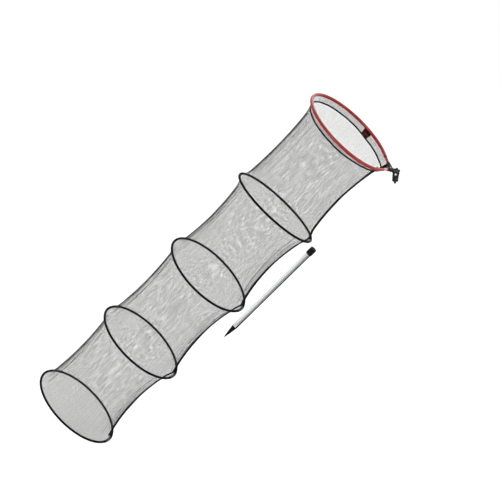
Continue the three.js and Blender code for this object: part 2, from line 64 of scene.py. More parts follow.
# Sizes, as in the part's source
SEAT_GAP = 0.3 * MM
RING_RADIUS = 198.5 * MM
RING_TUBE = 6.5 * MM
RING_LEAVES = math.radians(26)  # where the tube leaves its circle for the straight legs
RING_SHIFT = 4 * MM
RING_BAR = 51 * MM
RING_BAR_RADIUS = 5.7 * MM
RING_BAR_PLUNGE = 14 * MM
RING_STOP = 14 * MM
RING_STOP_RADIUS = 6.9 * MM
YOKE_LEG = 25 * MM
YOKE_LEG_TOP = 8.6 * MM
SOCKET_TILT = math.radians(52)
SOCKET_END = 31 * MM
STUD_RADIUS = 4.76 * MM
STUD_SHOW = 10.5 * MM
HINGE_HALF = 8.5 * MM
WASHER_THICKNESS = 1.2 * MM
KNOB_BOSS = 7 * MM
KNOB_THICKNESS = 11 * MM
KNOB_RADIUS, KNOB_LOBES, KNOB_LOBE_DEPTH = 16.5 * MM, 6, 4 * MM
COLLAR_BOTTOM = 22.2 * MM  # below the middle of the ring's tube
COLLAR_TOP_INSET = 1.5 * MM
COLLAR_WALL = 1.4 * MM
COLLAR_OPENS = math.radians(2)
COLLAR_LEG_END = 30 * MM
HEM_RADIUS = 184 * MM
HEM_HEIGHT = 6 * MM
HEM_THICKNESS = 2.6 * MM
HEM_DROP = COLLAR_BOTTOM + SEAT_GAP + HEM_HEIGHT / 2
LABEL_BEARING = math.radians(64)
HOOP_RADIUS = 192.25 * MM
HOOP_TILTS = (math.radians(8), math.radians(-1.65), 0, 0)
FERRULE_BEARING = math.radians(-15)
FERRULE_LENGTH = 56 * MM
FERRULE_HALF = FERRULE_LENGTH / 2 / HOOP_RADIUS  # radians
FERRULE_RADIUS = 5.75 * MM
NET_END_RADIUS = 187.2 * MM
NET_INSETS = (4 * MM, 8 * MM, 8 * MM, 8 * MM, 8 * MM)
WAISTS = (15.5 * MM, 22.5 * MM, 20.5 * MM, 20.5 * MM)
WAIST_SKEWS = (4 * MM, 5.5 * MM, 6 * MM, 6 * MM)
INSET_SHARE = 0.07
SEAM_BEARING = math.radians(-3)
CAP_RADIUS, CAP_LENGTH = 13.6 * MM, 31 * MM
TUBE_RADIUS, TUBE_INSIDE = 11.2 * MM, 10 * MM
TUBE_BOTTOM = -CAP_LENGTH - 447 * MM

# Threads, the bushes that shut the ends of the ring's tube, and the spike's point
THREAD_PITCH = 1.27 * MM
THREAD_DEPTH = 0.7 * MM
RING_BUSH = 4 * MM
TIP_LENGTH = 68 * MM

# Cloth round the mouth
HEM_DRAWN = 9 * MM  # drawn in on both sides of the yoke
HEM_DRAWN_AT, HEM_DRAWN_OVER = math.radians(58), math.radians(26)
HEM_PULLED = 10 * MM  # pulled out at the yoke
HEM_PULLED_OVER = math.radians(15)
HEM_RIPPLE_OUT, HEM_RIPPLE_DOWN, HEM_SAG = 0.9 * MM, 0.6 * MM, 1.0 * MM
HEM_STITCHES = 250
STITCH_LENGTH, STITCH_THICKNESS = 2.9 * MM, 0.5 * MM
STITCH_ROW = 1.8 * MM  # above and below the tape's middle
COLLAR_RING_LAP, COLLAR_HEM_LAP = 0.3 * MM, 0.6 * MM
COLLAR_RIPPLE = 0.7 * MM
COLLAR_MESH, COLLAR_MESHES_DOWN = 5.2 * MM, 7
COLLAR_SLANT = 22 * MM  # the collar's wall at the label, measured down its slope
BINDING_BEARING = COLLAR_OPENS + 2.4 * MM / HEM_RADIUS
BINDING_WIDTH, BINDING_THICKNESS = 12 * MM, 6.4 * MM
BINDING_SPAN = (-0.02, 1.3)  # from and to, in heights of the collar
GUSSET_SPAN = (0.22, 1.2)
GUSSET_HALF = 0.7 * MM
GUSSET_BOW, GUSSET_BOW_WAY = 15 * MM, Vector((1, 0, 0.12))
LABEL_WIDTH, LABEL_HEIGHT = 36 * MM, 21 * MM
LABEL_LEAN = 6 * MM
LABEL_BULGE = 0.5 * MM

# Cloth and cords of the net
HOOP_CASING = 4.7 * MM  # the cloth round the hoop's rod
NET_HEM_LAP = 1.2 * MM
INSET_EASE = 1.4
MESHES_ROUND, MESH_LENGTH = 250, 7.6 * MM
NET_COLUMNS, NET_ROWS = 1000, 26
PLEAT, SWELL = 4.2 * MM, 2.0 * MM
PLEAT_SINK, PLEAT_SINK_SKEW = 0.42, 0.24
SEAM_FLAT = [math.radians(a) for a in (30, 14, 14, 14)]  # flat this far each side of its seam
SEAM_WANDER = 1.6 * MM
SEAM_THIN, SEAM_THICK = (4, 3.3, 3.3, 3.3), 4.8  # the roll's radius in each section, in mm
SEAM_BEHIND = 3.6  # mm that it lies inside the net at a hoop
SEAM_PROUD, SEAM_PROUD_FIRST = 1.6, (0.4, -1.6)  # mm that it stands out from the net elsewhere
LASHING_TURNS, LASHING_THREAD, LASHING_PROUD = 92, 0.45 * MM, 0.3 * MM
LASHING_GAP = 0.02  # radians that it keeps off the ferrule
TIE_TURNS, TIE_CORD = 3, 0.9 * MM
BASE_MESH_WIDTH = 5.7 * MM
BASE_SAG, BASE_RIPPLE = 9 * MM, 1.2 * MM

# The photograph's view
CAMERA_DISTANCE = 10.0
CAMERA_ELEVATION = math.radians(21.63)
CAMERA_AZIMUTH = math.radians(-10)
CAMERA_ROLL = math.radians(45.1)  # the picture was turned by half a right angle
FOCAL_PIXELS = 2491.7
IMAGE_PIXELS = 500
SENSOR_MM = 36
AIM_BELOW_MOUTH = 0.6482
AIM_BESIDE_AXIS = 0.0488

# The studio
WORLD_LEVEL = 0.75
LAMP_AIM_Z = -0.7
LAMPS = (  # name, place, width and watts
    ("key", (-3.3, -5.2, 5.1), 3.6, 190),
    ("fill", (4.8, -3.6, 1.9), 4.4, 80),
    ("back", (-1.2, 5.6, 3.5), 4.4, 95),
)
FLOOR_BELOW, FLOOR_SIZE, FLOOR_GLOW = 0.3, 40, 0.29
FLAG_BOTTOM, FLAG_TOP = -1.3, 0.1  # from the first hoop
FLAGS = (  # bearings from and to, how far from the spike, glow, and its patches' two colours
    (math.radians(-24), math.radians(80), 0.6, 0, "060606", "0c0c0c"),
    (math.radians(-95), math.radians(-26), 0.6, 0, "b4b4b4", "bababa"),
    (math.radians(128), math.radians(262), 0.02, 0.3, "f4f4f4", "fafafa"),
)

# Places
JOINTS = {joint["name"]: joint for joint in frame["joints"]}
PIVOT = Vector(JOINTS["tilt"]["pos_m"])
HOOPS = [Vector(JOINTS[f"fold_{i}"]["pos_m"]) for i in range(1, 5)]
HOOP_BODIES = [f"hoop_body_{i}" for i in range(1, 5)]
AXIS_X = HOOPS[0].x
MOUTH = Vector((AXIS_X - RING_SHIFT, 0, PIVOT.z))
RING_APEX = MOUTH + Vector((RING_RADIUS / math.cos(RING_LEAVES), 0, 0))
spike_low, spike_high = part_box("spike_cap")
SPIKE = Vector(((spike_low.x + spike_high.x) / 2, (spike_low.y + spike_high.y) / 2, spike_high.z))


def lerp(a, b, t):
    return a + (b - a) * t


def smoothstep(t):
    t = min(max(t, 0), 1)
    return t * t * (3 - 2 * t)


def polar(radius, bearing, z=0.0):
    return Vector((radius * math.cos(bearing), radius * math.sin(bearing), z))


class Waves:
    """A smooth periodic ripple of a bearing: whole numbers of waves, seeded phases."""

    def __init__(self, seed, counts, drift=0.0):
        draw = random.Random(seed)
        self.terms = [(n, draw.uniform(0, TAU), draw.uniform(-drift, drift)) for n in counts]

    def __call__(self, bearing, along=0.0):
        waves = [math.sin(n * bearing + phase + slip * along) for n, phase, slip in self.terms]
        return sum(waves) / len(waves)


# Meshes


def put(name, data):
    """An object with that data, in the scene."""
    made = bpy.data.objects.new(name, data)
    bpy.context.scene.collection.objects.link(made)
    return made


def new_object(name, vertices, faces, material, sharp=None):
    mesh = bpy.data.meshes.new(name)
    mesh.from_pydata([tuple(v) for v in vertices], [], faces)
    mesh.validate()
    mesh.materials.append(material)
    mesh.shade_smooth()
    if sharp is not None:
        mesh.set_sharp_from_angle(angle=sharp)
    return put(name, mesh)


def face_out(piece):
    """All faces of a closed mesh turned outwards."""
    work = bmesh.new()
    work.from_mesh(piece.data)
    bmesh.ops.recalc_face_normals(work, faces=work.faces)
    work.to_mesh(piece.data)
    work.free()
    return piece


def grid(name, point, rows, cols, material, wrap_rows=False, wrap_cols=False, size=(1, 1),
         ends=False, sharp=None):
    """A surface of point(row share, column share). Its first map is size long across and along;
    the second one is the unit square. ends closes the first and last row."""
    height = rows if wrap_rows else rows + 1
    width = cols if wrap_cols else cols + 1
    vertices = [point(i / rows, j / cols) for i in range(height) for j in range(width)]
    faces, maps = [], []
    for i in range(rows):
        for j in range(cols):
            top, low = i * width, (i + 1) % height * width
            beside = (j + 1) % width
            faces.append((top + j, top + beside, low + beside, low + j))
            maps.append(((j, i), (j + 1, i), (j + 1, i + 1), (j, i + 1)))
    if ends:
        for row in (0, rows):
            faces.append([row * width + j for j in range(width)])
            maps.append([(j, row) for j in range(width)])
    piece = new_object(name, vertices, faces, material, sharp)
    pattern = piece.data.uv_layers.new(name="pattern")
    whole = piece.data.uv_layers.new(name="OFBake")
    at = 0
    for face in maps:
        for j, i in face:
            pattern.data[at].uv = (j / cols * size[0], i / rows * size[1])
            whole.data[at].uv = (j / cols, i / rows)
            at += 1
    return piece


def sweep(name, path, radius, sides, material, closed=False, size=(1, 1)):
    """A tube along a path of points. radius is a number or a function of the share of the way."""
    count = len(path)
    tangents = []
    for i in range(count):
        before = path[i - 1] if closed or i > 0 else path[0]
        after = path[(i + 1) % count] if closed or i < count - 1 else path[-1]
        tangents.append((after - before).normalized())
    upright = abs(tangents[0].z) >= 0.9
    side = (tangents[0].orthogonal() if upright else tangents[0].cross(UP)).normalized()
    frames = []
    for tangent in tangents:
        side = (side - tangent * side.dot(tangent)).normalized()
        frames.append((side, tangent.cross(side)))
    steps = count if closed else count - 1

    def point(along, around):
        i = round(along * steps) % count
        wide = radius(along) if callable(radius) else radius
        a, b = frames[i]
        return path[i] + (a * math.cos(TAU * around) + b * math.sin(TAU * around)) * wide

    return face_out(grid(name, point, steps, sides, material, wrap_rows=closed, wrap_cols=True,
                         size=size, ends=not closed))


def axes_to(direction):
    """A turn that takes +Z to that direction."""
    return direction.to_track_quat("Z", "Y").to_matrix()


def lathe(name, profile, origin, direction, material, segments=48, wobble=None, round_by=0.0,
          closed=False):
    """A profile of (radius, way along) turned round an axis. wobble(bearing, point index) scales
    the radius, and round_by is the width of rounded edges. closed joins the profile's last point
    to its first, as in a washer."""
    turn = axes_to(direction)
    rows = len(profile) if closed else len(profile) - 1

    def point(along, around):
        i = round(along * rows) % len(profile)
        radius, way = profile[i]
        bearing = TAU * around
        if wobble:
            radius *= wobble(bearing, i)
        return origin + turn @ polar(radius, bearing, way)

    piece = face_out(grid(name, point, rows, segments, material, wrap_rows=closed,
                          wrap_cols=True, ends=not closed, sharp=math.radians(40)))
    if round_by:
        bevel = piece.modifiers.new("bevel", "BEVEL")
        bevel.width = round_by
        bevel.segments = 3
        bevel.limit_method = "ANGLE"
        bevel.angle_limit = math.radians(35)
    return piece


def joined(name, pieces):
    """Meshes of one material each, made into one object."""
    work = bmesh.new()
    mesh = bpy.data.meshes.new(name)
    for index, piece in enumerate(pieces):
        start = len(work.faces)
        work.from_mesh(piece.data)
        work.faces.ensure_lookup_table()
        for face in work.faces[start:]:
            face.material_index = index
        mesh.materials.append(piece.data.materials[0])
        bpy.data.objects.remove(piece)
    work.to_mesh(mesh)
    work.free()
    return put(name, mesh)


def moulded(name, node, material, voxel, rounds):
    """A CAD node's form with soft moulded edges."""
    piece = put(name, frame["nodes"][node].data.copy())
    remesh = piece.modifiers.new("remesh", "REMESH")
    remesh.mode = "VOXEL"
    remesh.voxel_size = voxel
    soften = piece.modifiers.new("soften", "SMOOTH")
    soften.factor = 0.5
    soften.iterations = rounds
    bpy.context.view_layer.update()
    softened = piece.evaluated_get(bpy.context.evaluated_depsgraph_get())
    mesh = bpy.data.meshes.new_from_object(softened)
    bpy.data.objects.remove(piece)
    mesh.materials.clear()
    mesh.materials.append(material)
    mesh.shade_smooth()
    mesh.name = name
    return put(name, mesh)


def settle(piece, body, slot, *replaced):
    """The piece rides on a body and stands for CAD nodes; its slot is not used."""
    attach(piece, body)
    if replaced:
        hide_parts(*replaced)
    return piece


# Materials


class Tree:
    """A material and its nodes. Inputs that are sockets are linked, and others are set."""

    def __init__(self, name):
        self.material = bpy.data.materials.new(name)
        self.material.use_nodes = True
        self.tree = self.material.node_tree
        self.shader = self.tree.nodes["Principled BSDF"]

    def add(self, kind, inputs=(), **settings):
        made = self.tree.nodes.new(kind)
        for key, value in settings.items():
            setattr(made, key, value)
        for key, value in dict(inputs).items():
            self.set(made.inputs[key], value)
        return made

    def set(self, socket, value):
        if isinstance(value, bpy.types.NodeSocket):
            self.tree.links.new(value, socket)
        else:
            socket.default_value = value

    def shade(self, **values):
        for key, value in values.items():
            self.set(self.shader.inputs[key.replace("_", " ")], value)

    def math(self, operation, a, b=0.0):
        return self.add("ShaderNodeMath", {0: a, 1: b}, operation=operation).outputs[0]

    def vector(self, operation, a, b):
        return self.add("ShaderNodeVectorMath", {0: a, 1: b}, operation=operation).outputs[0]

    def pattern(self):
        """The place in the first map."""
        return self.add("ShaderNodeUVMap", uv_map="pattern").outputs[0]

    def spot(self, scale=(1, 1, 1), uv=False):
        """Object coordinates, or the first map's, stretched by a scale."""
        at = self.pattern() if uv else self.add("ShaderNodeTexCoord").outputs["Object"]
        return self.add("ShaderNodeMapping", {"Vector": at, "Scale": scale}).outputs[0]

    def noise(self, at, scale, detail):
        return self.add("ShaderNodeTexNoise", {
            "Vector": at, "Scale": scale, "Detail": detail,
        }).outputs["Fac"]

    def between(self, fac, low, high, start=0.0, end=1.0):
        """A number that goes from low to high as fac goes from start to end."""
        return self.add("ShaderNodeMapRange", {
            "Value": fac, "From Min": start, "From Max": end, "To Min": low, "To Max": high,
        }).outputs[0]

    def drift(self, noise, low, high):
        """A number that goes from low to high with a noise, which seldom leaves 0.3 to 0.7."""
        return self.between(noise, low, high, 0.3, 0.7)

    def blend(self, fac, first, second):
        made = self.add("ShaderNodeMix", data_type="RGBA")
        self.set(made.inputs["Factor"], fac)
        for socket, value in (("A", first), ("B", second)):
            place = next(s for s in made.inputs if s.name == socket and s.type == "RGBA")
            self.set(place, value)
        return next(s for s in made.outputs if s.type == "RGBA")

    def bump(self, height, strength, distance):
        return self.add("ShaderNodeBump", {
            "Height": height, "Strength": strength, "Distance": distance,
        }).outputs[0]


def rgb(text):
    """A linear colour from six hexadecimal digits."""
    values = [int(text[i:i + 2], 16) / 255 for i in (0, 2, 4)]
    return [v / 12.92 if v <= 0.04045 else ((v + 0.055) / 1.055) ** 2.4 for v in values] + [1]


def solid_material(name, dark, light, rough, metallic=0.0, coat=0.0, patch=60,
                   stretch=(1, 1, 1), grain=900, relief=0.00005, strength=0.3, specular=0.5):
    """A hard surface: its colour and gloss drift in patches, and it has a fine grain in relief."""
    t = Tree(name)
    at = t.spot(stretch)
    patches = t.noise(at, patch, 4)
    fine = t.noise(at, grain, 2)
    t.shade(
        Base_Color=t.blend(t.drift(patches, 0, 1), rgb(dark), rgb(light)),
        Roughness=t.drift(t.noise(at, patch * 2.3, 3), *rough),
        Metallic=metallic, Coat_Weight=coat, Coat_Roughness=0.08,
        Specular_IOR_Level=specular,
        Normal=t.bump(fine, strength, relief),
    )
    return t.material


def weave_material(name, dark, light, warp=1.1 * MM, weft=0.8 * MM):
    """Woven tape. The map is in metres, across and along."""
    t = Tree(name)
    parts = t.add("ShaderNodeSeparateXYZ", {0: t.pattern()})
    across = t.math("MULTIPLY", parts.outputs[0], TAU / warp)
    along = t.math("MULTIPLY", parts.outputs[1], TAU / weft)
    threads = t.math("MULTIPLY", t.math("SINE", across), t.math("SINE", along))
    height = t.between(threads, 0, 1, -1, 1)
    dust = t.noise(t.spot(), 180, 4)
    # Painted shade and highlight: the colour follows the threads' height, darker in the hollows
    # between threads and lighter on their crowns; dust varies how much.
    fac = t.math("MULTIPLY", height, t.drift(dust, 0.5, 1.2))
    t.shade(
        Base_Color=t.blend(fac, rgb(dark), rgb(light)),
        Roughness=t.drift(dust, 0.75, 0.95),
        Specular_IOR_Level=0.12,
        Normal=t.bump(height, 0.6, 0.0003),
    )
    return t.material


def mesh_material(name, cord, crown_highlight, width, knot, wander, uneven):
    """Knotted netting. The map counts meshes: one mesh is one unit across and one along. width
    and knot are half sizes, in meshes; wander bends the cords, and uneven varies their width."""
    t = Tree(name)
    at = t.pattern()
    slow = t.add("ShaderNodeTexNoise", {"Vector": at, "Scale": 0.21, "Detail": 2.0})
    centred = t.vector("SUBTRACT", slow.outputs["Color"], (0.5, 0.5, 0.5))
    moved = t.vector("MULTIPLY", centred, (wander, wander, 0))
    parts = t.add("ShaderNodeSeparateXYZ", {0: t.vector("ADD", at, moved)})
    u, v = parts.outputs[0], parts.outputs[1]
    left = t.math("PINGPONG", t.math("ADD", u, v), 0.5)
    right = t.math("PINGPONG", t.math("SUBTRACT", u, v), 0.5)
    near = t.math("MINIMUM", left, right)
    far = t.math("MAXIMUM", left, right)
    fleck = t.noise(t.spot((1.0, 0.55, 1), uv=True), 0.9, 1)
    wide = t.between(fleck, width * (1 + uneven), width * (1 - 5 * uneven), 0.58, 0.9)
    strand = t.math("LESS_THAN", near, wide)
    tied = t.math("LESS_THAN", far, knot)
    round_cord = t.math("DIVIDE", near, wide)
    # Painted highlight: each cord's colour goes from cord at its edges to crown_highlight along its
    # middle.
    t.shade(
        Base_Color=t.blend(t.between(round_cord, 1, 0), rgb(cord), rgb(crown_highlight)),
        Roughness=t.between(fleck, 0.55, 0.85),
        Alpha=t.math("MAXIMUM", strand, tied),
        Normal=t.bump(t.math("SUBTRACT", 1.0, round_cord), 0.5, 0.0004),
    )
    return t.material


ring_red = solid_material("ring_red", "8c1913", "a0211a", (0.2, 0.3), coat=0.14, patch=14,
                          grain=420, relief=0.00003, strength=0.15, specular=0.26)
# Dark red: the stops' colour, and painted shade on the bushes at the tube's ends.
ring_dark = solid_material("ring_dark", "2c0605", "3d0a08", (0.3, 0.4), relief=0.00003,
                           specular=0.15)
# A painted highlight: the front bar's pale salmon. The rear bar, the same metal, takes the ring's
# red as painted shade.
bar_highlight_red = solid_material("bar_highlight_red", "e0776a", "f09a8c", (0.2, 0.3), metallic=0.35, coat=0.3,
                         patch=40, grain=1500, relief=0.00002)
fitting_black = solid_material("fitting_black", "08090a", "131416", (0.38, 0.55), patch=90,
                               grain=1600, relief=0.00008, strength=0.35, specular=0.3)
knob_black = solid_material("knob_black", "070808", "101112", (0.3, 0.5), patch=120,
                            grain=1900, relief=0.00006, specular=0.3)
hoop_black = solid_material("hoop_black", "050506", "0d0d0e", (0.6, 0.8), patch=30, grain=700,
                            relief=0.0001, strength=0.4, specular=0.12)
ferrule_grey = solid_material("ferrule_grey", "2a2b2d", "3e4042", (0.4, 0.55), grain=1200,
                              specular=0.3)
bright_steel = solid_material("bright_steel", "c9cbce", "e8e9eb", (0.12, 0.25), metallic=1.0,
                              patch=90, grain=2200, relief=0.00002)
brass = solid_material("brass", "7d6a3c", "a08b58", (0.2, 0.38), metallic=1.0, patch=150,
                       grain=2200, relief=0.00003)
aluminium = solid_material("aluminium", "d6d8da", "eceded", (0.1, 0.18), metallic=1.0, patch=26,
                           stretch=(1, 1, 0.06), grain=1400, relief=0.00002, strength=0.2)
spike_black = solid_material("spike_black", "050505", "0d0d0e", (0.5, 0.65), patch=70,
                             grain=1300, relief=0.0001, strength=0.4, specular=0.2)
# Each weave's first colour is painted shade in the hollows between threads, its second painted
# highlight on their crowns.
tape_black = weave_material("tape_black", "030303", "0e0e0f")
label_cloth = weave_material("label_cloth", "3d0a10", "6b1a22", 0.5 * MM, 0.5 * MM)
thread_black = weave_material("thread_black", "040404", "101011", 0.6 * MM, 0.6 * MM)
# The second colour of each netting is its cords' painted highlight.
net_mesh = mesh_material("net_mesh", "060606", "161617", width=0.09, knot=0.12, wander=0.35,
                         uneven=0.04)
collar_net = mesh_material("collar_net", "101010", "2b2b2c", width=0.08, knot=0.12, wander=0.3,
                           uneven=0.04)


# Camera, light and floor


def aim_camera():
    """The camera at the photograph's viewing angle."""
    back = Vector((
        math.sin(CAMERA_AZIMUTH) * math.cos(CAMERA_ELEVATION),
        -math.cos(CAMERA_AZIMUTH) * math.cos(CAMERA_ELEVATION),
        math.sin(CAMERA_ELEVATION),
    ))
    right = polar(1, CAMERA_AZIMUTH)
    target = Vector((AXIS_X, 0, MOUTH.z - AIM_BELOW_MOUTH)) + right * AIM_BESIDE_AXIS
    data = bpy.data.cameras.new("camera")
    data.sensor_width = SENSOR_MM
    data.lens = SENSOR_MM * FOCAL_PIXELS / IMAGE_PIXELS
    data.clip_end = 100
    camera = put("camera", data)
    turn = (-back).to_track_quat("-Z", "Y").to_matrix().to_4x4()
    place = Matrix.Translation(target + back * CAMERA_DISTANCE)
    camera.matrix_world = place @ turn @ Matrix.Rotation(CAMERA_ROLL, 4, "Z")
    bpy.context.scene.camera = camera
    bpy.context.scene.view_settings.view_transform = "Standard"


def lamp(name, place, size, power):
    data = bpy.data.lights.new(name, "AREA")
    data.shape = "DISK"
    data.size = size
    data.energy = power
    made = put(name, data)
    made.location = place
    way = Vector((AXIS_X, 0, LAMP_AIM_Z)) - Vector(place)
    made.rotation_euler = way.to_track_quat("-Z", "Y").to_euler()


def light_scene():
    """Soft studio light, with a white background where the camera or a gloss sees it."""
    world = bpy.data.worlds.new("studio")
    bpy.context.scene.world = world
    world.use_nodes = True
    tree = world.node_tree
    background = tree.nodes["Background"]
    background.inputs["Color"].default_value = (1, 1, 1, 1)
    path = tree.nodes.new("ShaderNodeLightPath")
    seen = path.outputs["Is Camera Ray"]
    for ray in ("Is Glossy Ray", "Is Transmission Ray"):
        either = tree.nodes.new("ShaderNodeMath")
        either.operation = "MAXIMUM"
        tree.links.new(seen, either.inputs[0])
        tree.links.new(path.outputs[ray], either.inputs[1])
        seen = either.outputs[0]
    level = tree.nodes.new("ShaderNodeMapRange")
    tree.links.new(seen, level.inputs["Value"])
    level.inputs["To Min"].default_value = WORLD_LEVEL
    level.inputs["To Max"].default_value = 1.0
    tree.links.new(level.outputs[0], background.inputs["Strength"])
    for values in LAMPS:
        lamp(*values)


def stand_flag(name, start, end, distance, glow, dark, light):
    """A curved studio flag that stands by the spike, seen in glosses alone."""
    t = Tree(name)
    t.shade(Base_Color=t.blend(t.noise(t.spot(), 8, 3), rgb(dark), rgb(light)), Roughness=0.95,
            Specular_IOR_Level=0.05, Emission_Color=(1, 1, 1, 1), Emission_Strength=glow)

    axis = Vector((SPIKE.x, SPIKE.y, HOOPS[0].z))

    def point(along, across):
        return axis + polar(distance, lerp(start, end, across), lerp(FLAG_BOTTOM, FLAG_TOP, along))

    flag = grid(name, point, 4, 12, t.material)
    for way in ("camera", "diffuse", "transmission", "shadow", "volume_scatter"):
        setattr(flag, f"visible_{way}", False)


def lay_floor():
    """A plain pale floor that glows a little where the camera sees it."""
    t = Tree("floor")
    t.shade(Base_Color=t.blend(t.noise(t.spot(), 3, 4), rgb("f2f2f1"), rgb("f8f8f7")),
            Roughness=0.9, Specular_IOR_Level=0.1)
    path = t.add("ShaderNodeLightPath")
    strength = t.math("MULTIPLY", path.outputs["Is Camera Ray"], FLOOR_GLOW)
    glow = t.add("ShaderNodeEmission", {"Color": (1, 1, 1, 1), "Strength": strength})
    both = t.add("ShaderNodeAddShader", {0: t.shader.outputs[0], 1: glow.outputs[0]})
    out = next(n for n in t.tree.nodes if n.type == "OUTPUT_MATERIAL")
    t.tree.links.new(both.outputs[0], out.inputs["Surface"])

    def point(along, across):
        return Vector((AXIS_X + (across - 0.5) * FLOOR_SIZE, (along - 0.5) * FLOOR_SIZE,
                       HOOPS[3].z - FLOOR_BELOW))

    floor = grid("floor", point, 4, 4, t.material)


aim_camera()
light_scene()
lay_floor()
for number, values in enumerate(FLAGS, 1):
    stand_flag(f"flag_{number}", *values)


# Mouth ring and its two bars


def ring_path(steps):
    """The middle of the ring's tube: straight, round the circle, and straight again."""
    straight = RING_RADIUS * math.tan(RING_LEAVES) - YOKE_LEG - RING_BAR - RING_BUSH - SEAT_GAP
    arc = RING_RADIUS * 2 * (math.pi - RING_LEAVES)
    points = []
    for i in range(steps + 1):
        way = i / steps * (arc + 2 * straight) - straight
        on_arc = min(max(way, 0), arc)
        bearing = RING_LEAVES + on_arc / RING_RADIUS
        points.append(MOUTH + polar(RING_RADIUS, bearing)
                      + polar(way - on_arc, bearing + math.pi / 2))
    return points


def leg_direction(side):
    """The way from the yoke's middle to the tube."""
    return polar(1, side * (math.pi / 2 + RING_LEAVES))


BAR_START = YOKE_LEG - RING_BAR_PLUNGE
BAR_END = YOKE_LEG + RING_BAR
STOP_START = YOKE_LEG + SEAT_GAP
STOP_END = STOP_START + RING_STOP
STOP_BORE = RING_BAR_RADIUS - 0.2 * MM
BUSH_BORE = RING_BAR_RADIUS - 0.4 * MM
BUSH_RADIUS = RING_TUBE - 0.6 * MM

ring = sweep("red_ring", ring_path(260), RING_TUBE, 28, ring_red)
settle(ring, "mouth", "ring_red", "mouth_ring")
for side, where in SIDES:
    # The front bar is painted pale salmon as a highlight, and the rear bar the ring's darker red as
    # shade.
    bar = lathe(f"ring_bar_{where}", [
        (0, BAR_START), (RING_BAR_RADIUS, BAR_START), (RING_BAR_RADIUS, STOP_END + 1 * MM),
        (RING_BAR_RADIUS, BAR_END - 8 * MM), (RING_BAR_RADIUS, BAR_END), (0, BAR_END),
    ], RING_APEX, leg_direction(side), bar_highlight_red if where == "front" else ring_red)
    settle(bar, "mouth", "ring_end_red", f"ring_end_{where}")
    stop = lathe(f"ring_stop_{where}", [
        (STOP_BORE, STOP_START), (RING_STOP_RADIUS, STOP_START), (RING_STOP_RADIUS, STOP_END),
        (STOP_BORE, STOP_END),
    ], RING_APEX, leg_direction(side), ring_dark, round_by=0.7 * MM, closed=True)
    settle(stop, "mouth", "ring_end_red")
    # The bushes, of the ring's red, are painted dark red as shade at the tube's open ends.
    bush = lathe(f"ring_bush_{where}", [
        (BUSH_BORE, BAR_END), (BUSH_RADIUS, BAR_END - 0.6 * MM),
        (BUSH_RADIUS, BAR_END + RING_BUSH), (BUSH_BORE, BAR_END + RING_BUSH),
    ], RING_APEX, leg_direction(side), ring_dark, round_by=0.6 * MM, closed=True)
    settle(bush, "mouth", "ring_red")


# Yoke, tilting socket, stud, bolt, washer and knob


yoke = moulded("yoke_moulding", "ring_yoke", fitting_black, 0.7 * MM, 4)
settle(yoke, "mouth", "fitting_black", "ring_yoke")
for side, where in SIDES:
    seat = RING_APEX + leg_direction(side) * (YOKE_LEG * 0.62) + UP * YOKE_LEG_TOP
    screw = lathe(f"yoke_screw_{where}", [
        (0, 0.2 * MM), (1.0 * MM, 0.2 * MM), (1.0 * MM, 0.9 * MM), (2.1 * MM, 0.9 * MM),
        (2.5 * MM, 0.5 * MM), (2.5 * MM, -2 * MM), (0, -2 * MM),
    ], seat, UP, bright_steel, 32)
    settle(screw, "mouth", "bright_steel")

socket = moulded("socket_moulding", "tilt_socket", fitting_black, 0.6 * MM, 3)
settle(socket, "socket", "fitting_black", "tilt_socket")
socket_way = Vector((math.cos(SOCKET_TILT), 0, -math.sin(SOCKET_TILT)))
lip = lathe("socket_lip", [
    (STUD_RADIUS + 0.6 * MM, -0.2 * MM), (STUD_RADIUS + 3.2 * MM, -0.2 * MM),
    (STUD_RADIUS + 3.6 * MM, 0), (STUD_RADIUS + 3.6 * MM, -1.6 * MM),
    (STUD_RADIUS + 0.6 * MM, -1.6 * MM),
], PIVOT + socket_way * SOCKET_END, socket_way, fitting_black, closed=True)
settle(lip, "socket", "fitting_black")


def thread_depth(way, bearing, first, last):
    """How deep a screw thread is cut at a place. It fades out at both ends."""
    fade = min(smoothstep((way - first) / THREAD_PITCH), smoothstep((last - way) / THREAD_PITCH))
    phase = (way / THREAD_PITCH - bearing / TAU) % 1
    return THREAD_DEPTH * (1 - abs(2 * phase - 1)) * fade


def threaded_stud():
    """The stud from inside the socket to its tip, which is cut back by a chamfer."""
    start, tip = SOCKET_END - 9 * MM, SOCKET_END + STUD_SHOW
    chamfer, cut = 1.3 * MM, 1.1 * MM
    turn = axes_to(socket_way)

    def point(along, around):
        way = lerp(start, tip, along)
        radius = STUD_RADIUS - thread_depth(way, TAU * around, start, tip)
        radius -= cut * smoothstep((way - tip + chamfer) / chamfer)
        return PIVOT + turn @ polar(radius, TAU * around, way)

    return face_out(grid("threaded_stud", point, 150, 40, brass, wrap_cols=True, ends=True,
                         sharp=math.radians(50)))


settle(threaded_stud(), "socket", "brass", "brass_stud")

hinge_way = Vector((0, 1, 0))
HINGE_FACE = HINGE_HALF + SEAT_GAP
BOLT_HEAD = -HINGE_FACE - 3 * MM
KNOB_NEAR = HINGE_HALF + 2 * SEAT_GAP + WASHER_THICKNESS
KNOB_MIDDLE = KNOB_NEAR + KNOB_BOSS
KNOB_FAR = KNOB_MIDDLE + KNOB_THICKNESS
bolt = lathe("pivot_bolt", [
    (0, BOLT_HEAD + 1.7 * MM), (2.1 * MM, BOLT_HEAD + 1.7 * MM), (2.3 * MM, BOLT_HEAD),
    (3.9 * MM, BOLT_HEAD), (4.6 * MM, BOLT_HEAD + 0.8 * MM), (4.6 * MM, -HINGE_FACE),
    (3 * MM, -HINGE_FACE), (3 * MM, KNOB_FAR + 1 * MM), (2.5 * MM, KNOB_FAR + 1.5 * MM),
    (0, KNOB_FAR + 1.5 * MM),
], PIVOT, hinge_way, bright_steel, round_by=0.25 * MM)
settle(bolt, "socket", "bright_steel", "tilt_bolt")
